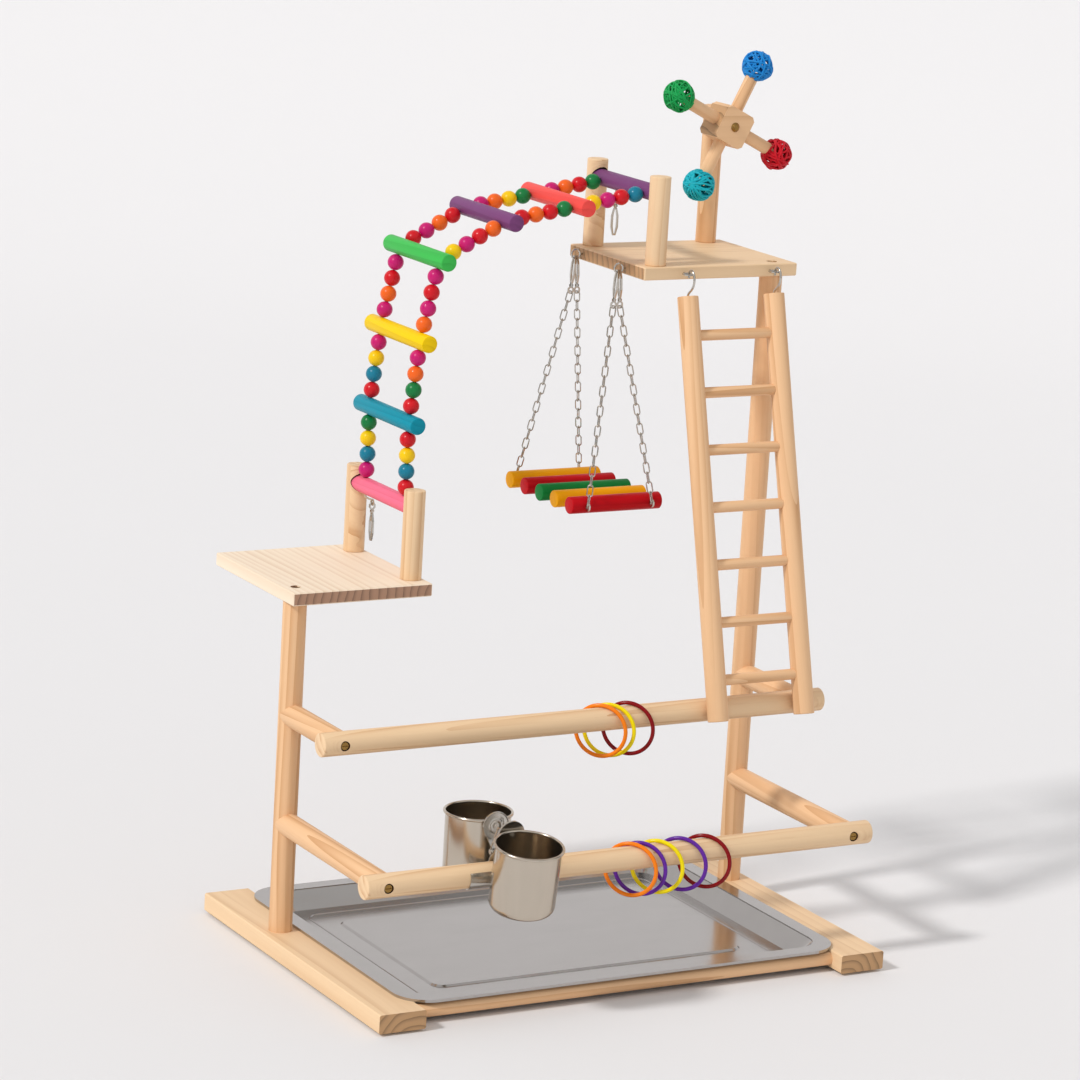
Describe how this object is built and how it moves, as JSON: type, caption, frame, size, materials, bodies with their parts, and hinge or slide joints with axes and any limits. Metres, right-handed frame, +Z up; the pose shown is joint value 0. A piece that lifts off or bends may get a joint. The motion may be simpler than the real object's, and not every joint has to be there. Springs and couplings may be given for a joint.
{
  "type": "parrot play stand",
  "caption": "Wooden parrot play stand with perches, ladder, bead bridge, swing, spinning wheel, coloured rings, double cup clip and a polished steel tray",
  "frame": {"origin": "middle of the bounding box, on the floor", "axes": "+X along the perches to the right, +Y to the back, +Z up"},
  "size_m": [0.5828, 0.4254, 0.8278],
  "materials": {
    "pine": "satin",
    "pads": "matt",
    "steel_screws": "satin",
    "nickel": "polished",
    "polished_steel": "polished",
    "clip_steel": "satin",
    "cord": "matt",
    "paint_pink": "satin",
    "paint_teal": "satin",
    "paint_yellow": "satin",
    "paint_green": "satin",
    "paint_purple": "satin",
    "paint_coral": "satin",
    "bead_magenta": "satin",
    "bead_red": "satin",
    "bead_orange": "satin",
    "bead_yellow": "satin",
    "bead_green": "satin",
    "bead_teal": "satin",
    "rod_amber": "satin",
    "rod_red": "satin",
    "rod_green": "satin",
    "wicker_green": "matt",
    "wicker_blue": "matt",
    "wicker_red": "matt",
    "wicker_cyan": "matt",
    "ring_orange": "glossy",
    "ring_yellow": "glossy",
    "ring_red": "glossy",
    "ring_purple": "glossy"
  },
  "bodies": {
    "stand": {"foot_left": "pine", "foot_right": "pine", "braces": "pine", "post_left": "pine", "post_right": "pine", "arms": "pine", "perch_upper": "pine", "perch_lower": "pine", "platform_lower": "pine", "platform_upper": "pine", "bridge_posts": "pine", "wheel_post": "pine", "foot_pads": "pads", "screws": "steel_screws", "screw_eyes": "nickel", "bridge_cords": "cord", "bridge_rung_pink": "paint_pink", "bridge_rung_teal": "paint_teal", "bridge_rung_yellow": "paint_yellow", "bridge_rung_green": "paint_green", "bridge_rung_purple": "paint_purple", "bridge_rung_coral": "paint_coral", "beads_magenta": "bead_magenta", "beads_red": "bead_red", "beads_orange": "bead_orange", "beads_yellow": "bead_yellow", "beads_green": "bead_green", "beads_teal": "bead_teal"},
    "tray": {"tray": "polished_steel"},
    "wheel": {"wheel_hub": "pine", "wheel_spokes": "pine", "ball_green": "wicker_green", "ball_blue": "wicker_blue", "ball_red": "wicker_red", "ball_cyan": "wicker_cyan"},
    "ladder": {"ladder_stiles": "pine", "ladder_rungs": "pine", "ladder_hooks": "nickel"},
    "swing": {"swing_hooks": "nickel", "swing_chains": "nickel", "swing_wires": "nickel", "swing_rods_amber": "rod_amber", "swing_rods_red": "rod_red", "swing_rods_green": "rod_green"},
    "bridge_hook_low": {"bridge_hook_lower": "nickel"},
    "bridge_hook_high": {"bridge_hook_upper": "nickel"},
    "cup_clip": {"lever_rear": "clip_steel", "cup_rear": "polished_steel", "clip_spring_rear": "clip_steel"},
    "cup_clip_front": {"lever_front": "clip_steel", "cup_front": "polished_steel", "clip_spring_front": "clip_steel"},
    "ring_upper_orange_body": {"ring_upper_orange": "ring_orange"},
    "ring_upper_yellow_body": {"ring_upper_yellow": "ring_yellow"},
    "ring_upper_red_body": {"ring_upper_red": "ring_red"},
    "ring_lower_orange_body": {"ring_lower_orange": "ring_orange"},
    "ring_lower_purple_a_body": {"ring_lower_purple_a": "ring_purple"},
    "ring_lower_yellow_body": {"ring_lower_yellow": "ring_yellow"},
    "ring_lower_purple_b_body": {"ring_lower_purple_b": "ring_purple"},
    "ring_lower_red_body": {"ring_lower_red": "ring_red"}
  },
  "joints": [
    {"name": "tray_lift", "type": "slide", "parent": "stand", "child": "tray", "axis": [0, 0, 1], "range_m": [0, 0.05]},
    {"name": "wheel_spin", "type": "hinge", "parent": "stand", "child": "wheel", "pos_m": [0.21657, 0.15931, 0.7529], "axis": [0, 1, 0], "continuous": true},
    {"name": "ladder_swing", "type": "hinge", "parent": "stand", "child": "ladder", "pos_m": [0.16132, 0.04371, 0.6291], "axis": [-1, 0, 0], "range_deg": [0, 40]},
    {"name": "swing_sway", "type": "hinge", "parent": "stand", "child": "swing", "pos_m": [0.06327, 0.13221, 0.6291], "axis": [0, 1, 0], "range_deg": [-18, 25]},
    {"name": "bridge_hook_low_sway", "type": "hinge", "parent": "stand", "child": "bridge_hook_low", "pos_m": [-0.13843, 0.18121, 0.3926], "axis": [0, 1, 0], "range_deg": [-40, 5]},
    {"name": "bridge_hook_high_sway", "type": "hinge", "parent": "stand", "child": "bridge_hook_high", "pos_m": [0.10857, 0.18121, 0.6796], "axis": [1, 0, 0], "range_deg": [-40, 40]},
    {"name": "ring_upper_orange_slide", "type": "slide", "parent": "stand", "child": "ring_upper_orange_body", "axis": [1, 0, 0], "range_m": [-0.04, 0]},
    {"name": "ring_upper_yellow_slide", "type": "slide", "parent": "stand", "child": "ring_upper_yellow_body", "axis": [1, 0, 0], "range_m": [0, 0.012]},
    {"name": "ring_upper_red_slide", "type": "slide", "parent": "stand", "child": "ring_upper_red_body", "axis": [1, 0, 0], "range_m": [0, 0.04]},
    {"name": "ring_lower_orange_slide", "type": "slide", "parent": "stand", "child": "ring_lower_orange_body", "axis": [1, 0, 0], "range_m": [-0.04, 0]},
    {"name": "ring_lower_purple_a_slide", "type": "slide", "parent": "stand", "child": "ring_lower_purple_a_body", "axis": [1, 0, 0], "range_m": [0, 0.008]},
    {"name": "ring_lower_yellow_slide", "type": "slide", "parent": "stand", "child": "ring_lower_yellow_body", "axis": [1, 0, 0], "range_m": [0, 0.012]},
    {"name": "ring_lower_purple_b_slide", "type": "slide", "parent": "stand", "child": "ring_lower_purple_b_body", "axis": [1, 0, 0], "range_m": [0, 0.014]},
    {"name": "ring_lower_red_slide", "type": "slide", "parent": "stand", "child": "ring_lower_red_body", "axis": [1, 0, 0], "range_m": [0, 0.06]},
    {"name": "clip_slide", "type": "slide", "parent": "stand", "child": "cup_clip", "axis": [1, 0, 0], "range_m": [-0.03, 0.02]},
    {"name": "clip_open", "type": "hinge", "parent": "cup_clip", "child": "cup_clip_front", "pos_m": [-0.15343, -0.13119, 0.1445], "axis": [-1, 0, 0], "range_deg": [0, 20], "stiffness_Nm_per_rad": 0.25, "springref_deg": -34.38}
  ]
}
